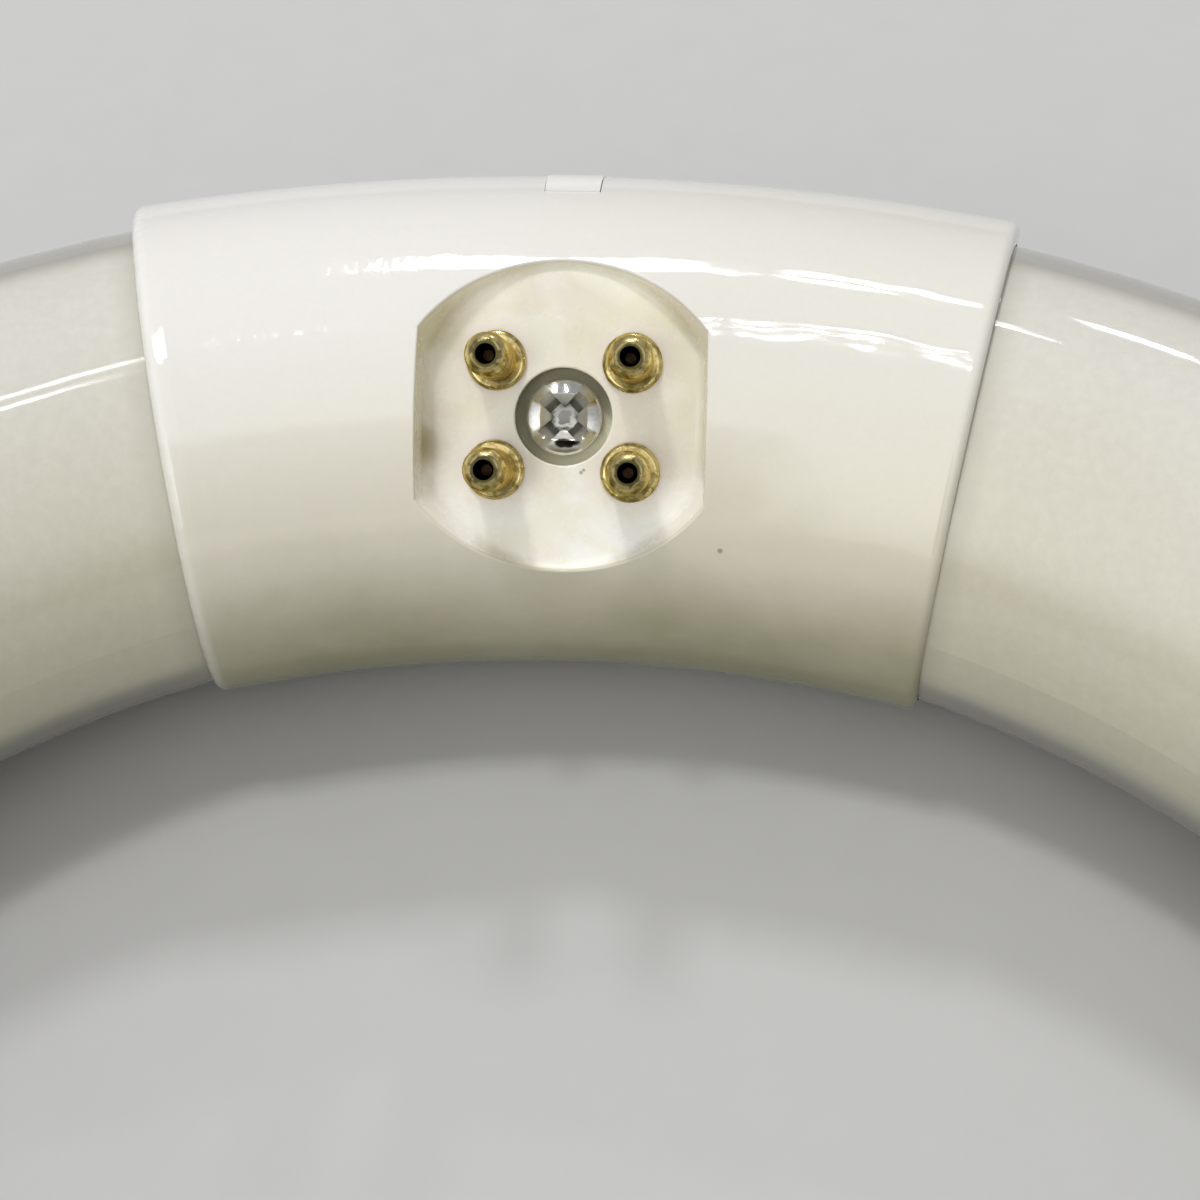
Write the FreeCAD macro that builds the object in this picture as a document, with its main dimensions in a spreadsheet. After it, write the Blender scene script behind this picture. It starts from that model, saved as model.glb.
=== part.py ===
import FreeCAD
import Part
import Sketcher
import math
import os
import re

# Circular fluorescent tube with a four-pin base. Millimetres and degrees.
# The ring lies in the XY plane with its centre at the origin and its base at +Y.
# The pins lean inwards and up, and "height" below is measured along them from the base's centreline.

doc = FreeCAD.newDocument("circular_tube")
sheet = doc.addObject("Spreadsheet::Sheet", "Sizes")

SIZES = [
    # Glass ring
    ("tube_ring_radius", 69.0, "centreline of the glass ring"),
    ("tube_radius", 14.3, "outside of the glass"),
    ("tube_end_reach", 13.0, "sideways place of a sealed end"),
    ("tube_end_round", 5.0, "shoulder of a sealed end"),
    ("exhaust_radius", 2.0, "sealed exhaust stub"),
    ("exhaust_length", 4.0, "sealed exhaust stub"),
    # Base moulding, whose curve is that of a wider ring
    ("base_ring_radius", 88.0, "centreline of the base"),
    ("base_inset", 0.6, "base centreline inside the glass centreline, at the middle"),
    ("base_wall", 1.05, "around the glass, on average"),
    ("base_half_length", 25.0, "middle to an end, on the centreline"),
    ("base_end_lean", 14.3, "lean of an end face"),
    ("base_end_round", 0.6, "rounded edge of an end face"),
    ("pin_lean", 45.0, "pins against the ring's plane"),
    ("chamber_wall", 1.85, "around the hollow between the two glass ends"),
    ("socket_start", 14.0, "sideways place where a glass socket starts"),
    ("socket_clearance", 0.1, "glass to socket"),
    # Tongue of the rear half in the front half
    ("tongue_width", 3.7, "along the base"),
    ("tongue_arc", 28.0, "angle that it reaches past the parting"),
    ("tongue_proud", 0.1, "stands out of the base"),
    ("tongue_clearance", 0.05, "to the notch's sides and end"),
    # Recess around the pins
    ("recess_depth", 3.45, "of its floor below the base's crown"),
    ("recess_round", 8.76, "round outline at the floor"),
    ("recess_flat", 8.15, "flat sides at the floor"),
    ("recess_round_draft", 17.0, "slope of the round wall"),
    ("recess_flat_draft", 1.5, "slope of the flat walls"),
    ("recess_foot_round", 0.5, "between floor and walls, at most"),
    ("recess_rim_round", 0.12, "between walls and the outside"),
    ("floor_thickness", 1.6, "under the pins"),
    ("recess_wall", 1.2, "between the recess and the hollow"),
    # Screw and its well
    ("well_radius", 2.85, "well for the screw's head"),
    ("well_wall", 0.6, "around the well"),
    ("well_depth", 1.8, "below the recess floor"),
    ("well_floor", 1.2, "under the screw's head"),
    ("well_rim_round", 0.12, "at the well's mouth"),
    ("head_radius", 2.25, "screw head"),
    ("head_height", 1.7, "screw head"),
    ("head_edge", 1.1, "straight side of the screw head"),
    ("cross_reach", 2.0, "cross recess, at the top"),
    ("cross_width", 0.95, "cross recess, at the top"),
    ("cross_depth", 1.35, "cross recess"),
    ("cross_foot_reach", 0.75, "cross recess, at the bottom"),
    ("cross_foot_width", 0.8, "cross recess, at the bottom"),
    ("core_reach", 1.66, "square core of the cross recess, at the top"),
    ("core_depth", 0.95, "square core of the cross recess"),
    ("core_foot_reach", 0.6, "square core of the cross recess, at the bottom"),
    ("shank_radius", 1.2, "screw shank"),
    ("shank_length", 10.0, "screw shank"),
    ("shank_point", 1.6, "tapered end of the shank"),
    ("shank_clearance", 0.2, "shank to the front half"),
    ("boss_radius", 3.0, "screw boss of the rear half"),
    ("boss_gap", 0.15, "boss to the front half"),
    # Contact pins
    ("pin_pitch_along", 7.92, "between pins along the base"),
    ("pin_pitch_across", 6.35, "between pins across the base"),
    ("pin_radius", 1.25, "barrel"),
    ("pin_height", 6.9, "above the recess floor"),
    ("pin_dome", 1.0, "rounded end"),
    ("pin_tip_radius", 0.82, "flat rim at the tip"),
    ("pin_mouth_radius", 0.58, "hole at the tip"),
    ("pin_mouth_depth", 2.0, "hole at the tip"),
    ("pin_neck_length", 0.8, "where the pin is squeezed on its wire"),
    ("pin_bore_radius", 0.65, "hollow of the barrel"),
    ("pin_shank_radius", 1.1, "in the floor"),
    ("collar_radius", 1.75, "on the floor"),
    ("collar_height", 0.5, "on the floor"),
    ("collar_round", 0.3, "edge of the collar"),
    ("rivet_radius", 1.5, "under the floor"),
    ("rivet_height", 0.4, "under the floor"),
    # Lead wires
    ("wire_radius", 0.3, "lead wire"),
    ("wire_height", 3.0, "where a wire leaves the glass"),
    ("wire_bend", 2.0, "centreline of the bend"),
    ("wire_end_depth", 1.9, "wire's end below the pin's tip"),
    # All cuts
    ("overcut", 1.0, "how far a cut or a piece to be trimmed runs past its end"),
]
for row, (alias, size, note) in enumerate(SIZES, start=1):
    sheet.set(f"A{row}", note)
    sheet.set(f"B{row}", str(size))
    sheet.setAlias(f"B{row}", alias)
doc.recompute()

ALIASES = {alias for alias, size, note in SIZES}
BASE_Y = "(tube_ring_radius - base_inset)"
BASE_RADIUS = "(tube_radius + socket_clearance + base_wall)"
CHAMBER_RADIUS = f"({BASE_RADIUS} - chamber_wall)"
RECESS_FLOOR = f"({BASE_RADIUS} - recess_depth)"
BASE_AXIS_Y = "(tube_ring_radius - base_inset - base_ring_radius)"
TILT = "(90 - pin_lean)"
MIDDLE_SWEEP = "2 * asin((socket_start + overcut) / base_ring_radius)"
LONG_SWEEP = "2 * asin(base_half_length / base_ring_radius) + 10 deg"


def full(text):
    """Puts the sheet's name before each of its aliases."""
    return re.sub(r"[a-z_]+", lambda m: "Sizes." + m[0] if m[0] in ALIASES else m[0], text)


def number(text):
    """The present value of an expression."""
    result = sheet.evalExpression(full(text))
    return float(getattr(result, "Value", result))


def bind(item, **texts):
    """Binds properties to expressions."""
    for name, text in texts.items():
        item.setExpression(name, full(text))


# Sketch helpers

def origin_plane(body, role):
    return next(item for item in body.Origin.OriginFeatures if item.Role == role)


def new_sketch(body, role, name):
    sketch = body.newObject("Sketcher::SketchObject", name)
    sketch.AttachmentSupport = [(origin_plane(body, role), "")]
    sketch.MapMode = "FlatFace"
    return sketch


def section_sketch(body, name, turn=None):
    """A sketch across the ring, with Y and Z as its directions, turned about the ring's axis if asked."""
    sketch = new_sketch(body, "YZ_Plane", name)
    if turn:
        up = FreeCAD.Vector(0, 1, 0)
        sketch.AttachmentOffset = FreeCAD.Placement(FreeCAD.Vector(), FreeCAD.Rotation(up, number(turn)))
        sketch.setExpression("AttachmentOffset.Rotation.Angle", full(turn))
    return sketch


def seat_sketch(body, name, height):
    """A sketch square to the pins at a height, centred on the base."""
    sketch = new_sketch(body, "XY_Plane", name)
    sketch.AttachmentOffset = seat_placement("0", "0", height)
    bind_seat(sketch, "AttachmentOffset", "0", "0", height)
    return sketch


def seat_texts(along, across, height):
    """Expressions for a place in the base, from the three directions that the pins set."""
    return (along,
            f"{BASE_Y} + ({across}) * sin(pin_lean) - ({height}) * cos(pin_lean)",
            f"({across}) * cos(pin_lean) + ({height}) * sin(pin_lean)")


def seat_placement(along, across, height):
    spot = FreeCAD.Vector(*[number(text) for text in seat_texts(along, across, height)])
    return FreeCAD.Placement(spot, FreeCAD.Rotation(FreeCAD.Vector(1, 0, 0), number(TILT)))


def bind_seat(item, name, along, across, height):
    for letter, text in zip("xyz", seat_texts(along, across, height)):
        item.setExpression(f"{name}.Base.{letter}", full(text))
    item.setExpression(f"{name}.Rotation.Angle", full(TILT))


def hold(sketch, kind, geometry, text):
    """Adds a driven dimension to a sketch."""
    index = sketch.addConstraint(Sketcher.Constraint(kind, *geometry, number(text)))
    sketch.setExpression(f"Constraints[{index}]", full(text))


def angle_of(sketch, line, text):
    index = sketch.addConstraint(Sketcher.Constraint("Angle", line, math.radians(number(text))))
    sketch.setExpression(f"Constraints[{index}]", full(f"({text}) * 1 deg"))


def pin_down_across(sketch, geometry, point, across):
    """Fixes a point of the sketch at an expression for its first coordinate."""
    if across == "0":
        sketch.addConstraint(Sketcher.Constraint("PointOnObject", geometry, point, -2))
    else:
        hold(sketch, "DistanceX", (-1, 1, geometry, point), across)


def pin_down(sketch, geometry, point, across, up):
    """Fixes a point of the sketch at expressions for its two coordinates."""
    pin_down_across(sketch, geometry, point, across)
    if up == "0":
        sketch.addConstraint(Sketcher.Constraint("PointOnObject", geometry, point, -1))
    else:
        hold(sketch, "DistanceY", (-1, 1, geometry, point), up)


def vector(across, up):
    return FreeCAD.Vector(number(across), number(up), 0)


def join(sketch, first, first_point, second, second_point):
    sketch.addConstraint(Sketcher.Constraint("Coincident", first, first_point, second, second_point))


def add_lines(sketch, points):
    """Straight lines from each point to the next, with the points given as expressions."""
    lines = []
    for start, end in zip(points, points[1:]):
        lines.append(sketch.addGeometry(Part.LineSegment(vector(*start), vector(*end)), False))
    for line, after in zip(lines, lines[1:]):
        join(sketch, line, 2, after, 1)
    for line, start in zip(lines, points):
        pin_down(sketch, line, 1, *start)
    return lines


def add_polygon(sketch, points):
    """A closed outline of straight lines."""
    lines = add_lines(sketch, points + points[:1])
    join(sketch, lines[-1], 2, lines[0], 1)


def add_dome(sketch, lines, points, centre):
    """Closes a chain of lines with an arc from its last point back to its first, about a given centre."""
    middle = vector(*centre)
    spokes = [vector(*point) - middle for point in (points[-1], points[0])]
    circle = Part.Circle(middle, FreeCAD.Vector(0, 0, 1), spokes[0].Length)
    angles = [math.atan2(spoke.y, spoke.x) for spoke in spokes]
    dome = sketch.addGeometry(Part.ArcOfCircle(circle, *angles), False)
    pin_down(sketch, lines[-1], 2, *points[-1])
    join(sketch, dome, 1, lines[-1], 2)
    join(sketch, dome, 2, lines[0], 1)
    pin_down_across(sketch, dome, 3, centre[0])


def add_circle(sketch, across, up, radius):
    circle = Part.Circle(vector(across, up), FreeCAD.Vector(0, 0, 1), number(radius))
    index = sketch.addGeometry(circle, False)
    pin_down(sketch, index, 3, across, up)
    hold(sketch, "Radius", (index,), radius)
    return index


def add_arc(sketch, across, up, radius, start, end):
    """An arc with its centre and radius set, and its ends left to the lines that meet it."""
    circle = Part.Circle(vector(across, up), FreeCAD.Vector(0, 0, 1), number(radius))
    arc = Part.ArcOfCircle(circle, math.radians(number(start)), math.radians(number(end)))
    index = sketch.addGeometry(arc, False)
    pin_down(sketch, index, 3, across, up)
    hold(sketch, "Radius", (index,), radius)
    return index


def line_between(sketch, first, first_point, second, second_point):
    """A straight line between two points that are already in the sketch."""
    ends = [sketch.getPoint(first, first_point), sketch.getPoint(second, second_point)]
    line = sketch.addGeometry(Part.LineSegment(*ends), False)
    join(sketch, line, 1, first, first_point)
    join(sketch, line, 2, second, second_point)
    return line


def add_axis(sketch, across):
    """An upright construction line to turn a profile about."""
    ends = [FreeCAD.Vector(number(across), 0, 0), FreeCAD.Vector(number(across), number(BASE_RADIUS), 0)]
    line = sketch.addGeometry(Part.LineSegment(*ends), True)
    pin_down(sketch, line, 1, across, "0")
    pin_down(sketch, line, 2, across, BASE_RADIUS)


# Feature helpers

def turned(body, kind, name, sketch, axis, sweep, symmetric=True, backwards=False):
    feature = body.newObject(f"PartDesign::{kind}", name)
    feature.Profile = sketch
    feature.ReferenceAxis = (sketch, [axis])
    feature.Midplane = symmetric
    feature.Reversed = backwards
    bind(feature, Angle=sweep)
    body.Tip = feature
    doc.recompute()
    return feature


def straight(body, kind, name, sketch, length, forwards=None):
    """A Pad or Pocket of one length, or through everything when no length is given."""
    feature = body.newObject(f"PartDesign::{kind}", name)
    feature.Profile = sketch
    if length:
        bind(feature, Length=length)
    else:
        feature.Type = "ThroughAll"
    if forwards is None:
        feature.SideType = "Symmetric"
    else:
        feature.Reversed = forwards == (kind == "Pocket")
    body.Tip = feature
    doc.recompute()
    return feature


def mirrored(body, name, feature):
    """The same feature on the other side of the base's middle plane."""
    mirror = body.newObject("PartDesign::Mirrored", name)
    mirror.Originals = [feature]
    mirror.MirrorPlane = (origin_plane(body, "YZ_Plane"), [""])
    body.Tip = mirror
    doc.recompute()
    return mirror


def rounded(body, name, radius, wanted):
    """Rounds the edges of the body's last feature that a test picks."""
    last = body.Tip
    edges = [f"Edge{i}" for i, edge in enumerate(last.Shape.Edges, start=1) if wanted(edge)]
    fillet = body.newObject("PartDesign::Fillet", name)
    fillet.Base = (last, edges)
    bind(fillet, Radius=radius)
    body.Tip = fillet
    doc.recompute()
    return fillet


def new_body(label):
    body = doc.addObject("PartDesign::Body", label)
    body.Label = label
    return body


def centre_of(edge):
    return edge.valueAt((edge.FirstParameter + edge.LastParameter) / 2)


# Glass ring, sealed at both ends

glass = new_body("glass_tube")
section = section_sketch(glass, "tube_section")
add_circle(section, "-tube_ring_radius", "0", "tube_radius")
turned(glass, "Revolution", "tube_ring", section, "V_Axis", "360 deg - 2 * asin(tube_end_reach / tube_ring_radius)")


def on_glass_end(edge):
    return abs(edge.Length - 2 * math.pi * number("tube_radius")) < 0.01 and centre_of(edge).y > 0


rounded(glass, "tube_shoulders", "tube_end_round", on_glass_end)
stub = section_sketch(glass, "exhaust_section", "asin(tube_end_reach / tube_ring_radius)")
add_circle(stub, "tube_ring_radius", "0", "exhaust_radius")
straight(glass, "Pad", "exhaust_stub", stub, "exhaust_length", forwards=True)


def on_stub_tip(edge):
    spot = centre_of(edge)
    return edge.Length < 2 * math.pi * number("exhaust_radius") + 0.01 and spot.x > -number("tube_end_reach") + 2


rounded(glass, "exhaust_tip", "exhaust_radius * 0.8", on_stub_tip)


# Base halves, which part on the cone that the base's own centreline and the seat direction make

def half_sleeve(body, front):
    """One half of the base's outside, trimmed and rounded at its ends."""
    sketch = section_sketch(body, "sleeve_section")
    start, end = ("90 - pin_lean", "270 - pin_lean") if front else ("270 - pin_lean", "450 - pin_lean")
    arc = add_arc(sketch, BASE_Y, "0", BASE_RADIUS, start, end)
    parting = line_between(sketch, arc, 2, arc, 1)
    sketch.addConstraint(Sketcher.Constraint("PointOnObject", arc, 3, parting))
    angle_of(sketch, parting, start)
    add_axis(sketch, BASE_AXIS_Y)
    turned(body, "Revolution", "sleeve", sketch, "Axis0", LONG_SWEEP)

    middle = f"({BASE_AXIS_Y} + sqrt(base_ring_radius * base_ring_radius - base_half_length * base_half_length))"
    lean = f"2 * {BASE_RADIUS} * tan(base_end_lean)"
    trim = new_sketch(body, "XY_Plane", "end_trim")
    for side in ("", "-"):
        near_in = (f"{side}(base_half_length - {lean})", f"{middle} - 2 * {BASE_RADIUS}")
        near_out = (f"{side}(base_half_length + {lean})", f"{middle} + 2 * {BASE_RADIUS}")
        far_out = (f"{side}(2 * base_half_length)", near_out[1])
        far_in = (f"{side}(2 * base_half_length)", near_in[1])
        add_polygon(trim, [near_in, near_out, far_out, far_in])
    straight(body, "Pocket", "ends", trim, None)

    def on_end(edge):
        spot = centre_of(edge)
        line = number("base_half_length") + (spot.y - number(middle)) * math.tan(math.radians(number("base_end_lean")))
        ring = math.hypot(spot.x, spot.y - number(BASE_AXIS_Y)) - number("base_ring_radius")
        outside = abs(math.hypot(ring, spot.z) - number(BASE_RADIUS)) < 0.01
        return outside and abs(abs(spot.x) - line) < 0.01

    rounded(body, "end_edges", "base_end_round", on_end)


def hollow(body, kind):
    """The chamber and the two glass sockets, as solids or as cuts."""
    chamber = section_sketch(body, "chamber_section")
    add_circle(chamber, BASE_Y, "0", CHAMBER_RADIUS)
    add_axis(chamber, BASE_AXIS_Y)
    turned(body, kind, "chamber", chamber, "Axis0", MIDDLE_SWEEP)
    socket = section_sketch(body, "socket_section", "asin(socket_start / tube_ring_radius)")
    add_circle(socket, "tube_ring_radius", "0", "tube_radius + socket_clearance")
    sweep = "asin(base_half_length / tube_ring_radius)"
    mirrored(body, "other_socket", turned(body, kind, "socket", socket, "V_Axis", sweep, symmetric=False))


def tongue(body, kind, inner, outer, start, end, width):
    """A piece of the base's wall at its outer edge, across the parting."""
    sketch = section_sketch(body, "tongue_section")
    first, last = f"90 - pin_lean + {start}", f"90 - pin_lean + {end}"
    outside = add_arc(sketch, BASE_Y, "0", outer, first, last)
    inside = add_arc(sketch, BASE_Y, "0", inner, first, last)
    for point, angle in ((1, first), (2, last)):
        side = line_between(sketch, inside, point, outside, point)
        sketch.addConstraint(Sketcher.Constraint("PointOnObject", outside, 3, side))
        angle_of(sketch, side, angle)
    add_axis(sketch, BASE_AXIS_Y)
    turned(body, kind, "tongue", sketch, "Axis0", f"2 * asin({width} / 2 / (base_ring_radius + {BASE_RADIUS}))")


def recess_outline(body, name, height):
    """The recess at a height above its floor: a circle between two flat sides."""
    sketch = seat_sketch(body, name, f"{RECESS_FLOOR} + {height}")
    radius = f"(recess_round + {height} * tan(recess_round_draft))"
    flat = f"(recess_flat + {height} * tan(recess_flat_draft))"
    corner = f"acos({flat} / {radius}) / 1 deg"
    top = add_arc(sketch, "0", "0", radius, corner, f"180 - {corner}")
    foot = add_arc(sketch, "0", "0", radius, f"180 + {corner}", f"360 - {corner}")
    for first, first_point, second, second_point in ((top, 2, foot, 1), (foot, 2, top, 1)):
        side = line_between(sketch, first, first_point, second, second_point)
        sketch.addConstraint(Sketcher.Constraint("Vertical", side))
    hold(sketch, "DistanceX", (-1, 1, top, 1), flat)
    hold(sketch, "DistanceX", (top, 2, -1, 1), flat)
    return sketch


well_seat = f"({RECESS_FLOOR} - well_depth)"
well_foot = f"({well_seat} - well_floor)"

# Hollow of the front half, less the recess's cup and the screw's well
front_hollow = new_body("front_hollow")
hollow(front_hollow, "Revolution")
cup = seat_sketch(front_hollow, "cup_outline", f"{RECESS_FLOOR} - floor_thickness")
cup_side = "(recess_flat + recess_depth * tan(recess_flat_draft) + recess_wall)"
CORNERS = (("", ""), ("-", ""), ("-", "-"), ("", "-"))
add_polygon(cup, [(f"{side}{cup_side}", f"{end}{BASE_RADIUS}") for side, end in CORNERS])
straight(front_hollow, "Pocket", "cup", cup, None, forwards=True)
jacket = seat_sketch(front_hollow, "well_jacket", well_foot)
add_circle(jacket, "0", "0", "well_radius + well_wall")
straight(front_hollow, "Pocket", "well_space", jacket, None, forwards=True)

front = new_body("base_front")
half_sleeve(front, front=True)
floor_outline = recess_outline(front, "recess_floor_outline", "0")
rim_outline = recess_outline(front, "recess_rim_outline", "(recess_depth + overcut)")
recess = front.newObject("PartDesign::SubtractiveLoft", "recess")
recess.Profile = floor_outline
recess.Sections = [rim_outline]
recess.Ruled = True
front.Tip = recess
doc.recompute()


def height_of(point):
    """Height of a point along the pins."""
    lean = math.radians(number("pin_lean"))
    return point.z * math.sin(lean) - (point.y - number(BASE_Y)) * math.cos(lean)


def on_recess_foot(edge):
    points = [centre_of(edge)] + [vertex.Point for vertex in edge.Vertexes]
    return all(abs(height_of(point) - number(RECESS_FLOOR)) < 0.001 for point in points)


def on_recess_rim(edge):
    spot = centre_of(edge)
    ring = math.hypot(spot.x, spot.y - number(BASE_AXIS_Y)) - number("base_ring_radius")
    outside = abs(math.hypot(ring, spot.z) - number(BASE_RADIUS)) < 0.01
    return outside and abs(spot.x) < number("recess_round + recess_wall") and height_of(spot) > number(RECESS_FLOOR) / 2


low_wall = f"(sqrt({BASE_RADIUS} * {BASE_RADIUS} - recess_round * recess_round) - {RECESS_FLOOR})"
rounded(front, "recess_foot", f"min(recess_foot_round; 0.68 * {low_wall})", on_recess_foot)
rounded(front, "recess_rim", "recess_rim_round", on_recess_rim)

well = seat_sketch(front, "well_outline", RECESS_FLOOR)
add_circle(well, "0", "0", "well_radius")
straight(front, "Pocket", "well", well, "well_depth", forwards=False)


def on_well_rim(edge):
    circle = abs(edge.Length - 2 * math.pi * number("well_radius")) < 0.01
    return circle and on_recess_foot(edge)


rounded(front, "well_rim", "well_rim_round", on_well_rim)
screw_hole = seat_sketch(front, "screw_hole_outline", well_seat)
add_circle(screw_hole, "0", "0", "shank_radius + shank_clearance")
straight(front, "Pocket", "screw_hole", screw_hole, "well_floor + overcut", forwards=False)

PIN_PLACES = [(f"{side}pin_pitch_along / 2", f"{end}pin_pitch_across / 2") for end in ("", "-") for side in ("-", "")]
pin_holes = seat_sketch(front, "pin_hole_outlines", RECESS_FLOOR)
for along, across in PIN_PLACES:
    add_circle(pin_holes, along, across, "pin_shank_radius")
straight(front, "Pocket", "pin_holes", pin_holes, "floor_thickness + overcut", forwards=False)
tongue(front, "Groove", f"({CHAMBER_RADIUS} - overcut)", f"({BASE_RADIUS} + overcut)", "(-5)",
       f"(tongue_arc + tongue_clearance / {BASE_RADIUS} * 180 / pi)", "(tongue_width + 2 * tongue_clearance)")
shell = front.newObject("PartDesign::Boolean", "hollowed")
shell.Type = "Cut"
shell.setObjects([front_hollow])
front.Tip = shell
doc.recompute()

rear = new_body("base_rear")
half_sleeve(rear, front=False)
hollow(rear, "Groove")
boss_foot = f"(-{CHAMBER_RADIUS} - chamber_wall / 2)"
boss = seat_sketch(rear, "boss_outline", boss_foot)
add_circle(boss, "0", "0", "boss_radius")
boss_top = f"{well_foot} - boss_gap"
straight(rear, "Pad", "boss", boss, f"{boss_top} - {boss_foot}", forwards=True)
pilot = seat_sketch(rear, "pilot_outline", boss_top)
add_circle(pilot, "0", "0", "shank_radius")
straight(rear, "Pocket", "pilot", pilot, "shank_length", forwards=False)
tongue(rear, "Revolution", CHAMBER_RADIUS, f"({BASE_RADIUS} + tongue_proud)", "0", "tongue_arc", "tongue_width")


# Screw through the front half into the rear half's boss

screw = new_body("base_screw")
profile = section_sketch(screw, "screw_profile")
outline = [
    ("0", "head_height"), ("0", "-shank_length"), ("shank_radius", "shank_point - shank_length"), ("shank_radius", "0"),
    ("head_radius", "0"), ("head_radius", "head_edge")]
crown = "(head_height - head_edge)"
add_dome(profile, add_lines(profile, outline), outline,
         ("0", f"head_height - (head_radius * head_radius + {crown} * {crown}) / (2 * {crown})"))
turned(screw, "Revolution", "screw_blank", profile, "V_Axis", "360 deg", symmetric=False)


def head_sketch(name, height, turn):
    """A sketch across the screw, at a height above the head's seat."""
    sketch = new_sketch(screw, "XY_Plane", name)
    turned_about = FreeCAD.Rotation(FreeCAD.Vector(0, 0, 1), turn)
    sketch.AttachmentOffset = FreeCAD.Placement(FreeCAD.Vector(0, 0, number(height)), turned_about)
    sketch.setExpression("AttachmentOffset.Base.z", full(height))
    return sketch


def cross_outline(name, height, reach, width):
    sketch = head_sketch(name, height, 45)
    half = f"{width} / 2"
    quarter = [(reach, half), (half, half), (half, reach)]
    turns = [(("", 0), ("", 1)), (("-", 1), ("", 0)), (("-", 0), ("-", 1)), (("", 1), ("-", 0))]
    points = []
    for (first_sign, first), (second_sign, second) in turns:
        points += [(first_sign + point[first], second_sign + point[second]) for point in quarter]
    add_polygon(sketch, points)
    return sketch


def core_outline(name, height, reach):
    sketch = head_sketch(name, height, 0)
    add_polygon(sketch, [(side + reach, end + reach) for side, end in CORNERS])
    return sketch


def cut_between(name, top, foot):
    """A tapered cut from one outline down to another."""
    loft = screw.newObject("PartDesign::SubtractiveLoft", name)
    loft.Profile = top
    loft.Sections = [foot]
    loft.Ruled = True
    screw.Tip = loft
    doc.recompute()


cut_between("cross_recess", cross_outline("cross_top", "head_height", "cross_reach", "cross_width"),
            cross_outline("cross_foot", "head_height - cross_depth", "cross_foot_reach", "cross_foot_width"))
cut_between("cross_core", core_outline("core_top", "head_height", "core_reach"),
            core_outline("core_foot", "head_height - core_depth", "core_foot_reach"))
screw.Placement = seat_placement("0", "0", well_seat)
bind_seat(screw, "Placement", "0", "0", well_seat)
doc.recompute()


# Contact pins, hollow and riveted through the recess floor

def contact_pin(label, along, across):
    body = new_body(label)
    sketch = section_sketch(body, "pin_profile")
    mouth = "pin_height - pin_mouth_depth"
    neck = f"{mouth} - pin_neck_length"
    rivet = "-floor_thickness - rivet_height"
    step = "pin_bore_radius - wire_radius"
    dome_foot = ("pin_height - sqrt(pin_dome * pin_dome "
                 "- (pin_tip_radius - pin_radius + pin_dome) * (pin_tip_radius - pin_radius + pin_dome))")
    points = [
        ("pin_tip_radius", "pin_height"), ("pin_mouth_radius", "pin_height"), ("pin_mouth_radius", mouth),
        ("wire_radius", f"{mouth} - (pin_mouth_radius - wire_radius)"), ("wire_radius", neck),
        ("pin_bore_radius", f"{neck} - ({step})"), ("pin_bore_radius", rivet), ("rivet_radius", rivet),
        ("rivet_radius", "-floor_thickness"), ("pin_shank_radius", "-floor_thickness"), ("pin_shank_radius", "0"),
        ("collar_radius", "0"), ("collar_radius", "collar_height"), ("pin_radius", "collar_height"),
        ("pin_radius", dome_foot)]
    add_dome(sketch, add_lines(sketch, points), points, ("pin_radius - pin_dome", dome_foot))
    turned(body, "Revolution", "pin", sketch, "V_Axis", "360 deg", symmetric=False)

    def on_collar(edge):
        circle = abs(edge.Length - 2 * math.pi * number("collar_radius")) < 0.01
        return circle and abs(centre_of(edge).z - number("collar_height")) < 0.001

    rounded(body, "collar_edge", "collar_round", on_collar)
    body.Placement = seat_placement(along, across, RECESS_FLOOR)
    bind_seat(body, "Placement", along, across, RECESS_FLOOR)
    return body


pins = [contact_pin(f"contact_pin_{count}", *place) for count, place in enumerate(PIN_PLACES, start=1)]


# Lead wires from the sealed glass ends into the pins

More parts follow.
